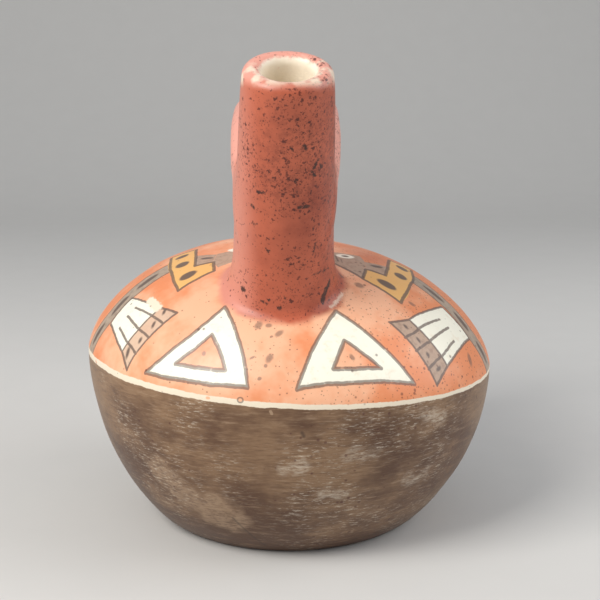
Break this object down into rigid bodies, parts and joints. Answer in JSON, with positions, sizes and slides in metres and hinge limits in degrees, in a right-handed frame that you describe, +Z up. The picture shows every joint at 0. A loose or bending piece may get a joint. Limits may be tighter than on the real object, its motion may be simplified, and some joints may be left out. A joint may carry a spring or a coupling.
{
  "type": "double spout and bridge vessel",
  "caption": "Round-shouldered clay bottle with two leaning spouts joined by an arched strap handle, painted with birds, wings and triangles above a dark burnished bowl.",
  "frame": {"origin": "middle of the flat underside", "axes": "+Z up; the spouts lean apart along Y, and the front spout leans towards -Y"},
  "size_m": [0.16, 0.1828, 0.1819],
  "materials": {
    "painted_clay": "burnished clay slip, orange red above and dark brown below, satin with wear"
  },
  "bodies": {
    "root": {"bowl": "painted_clay", "dome": "painted_clay", "front_spout": "painted_clay", "back_spout": "painted_clay", "bridge": "painted_clay"}
  },
  "joints": []
}
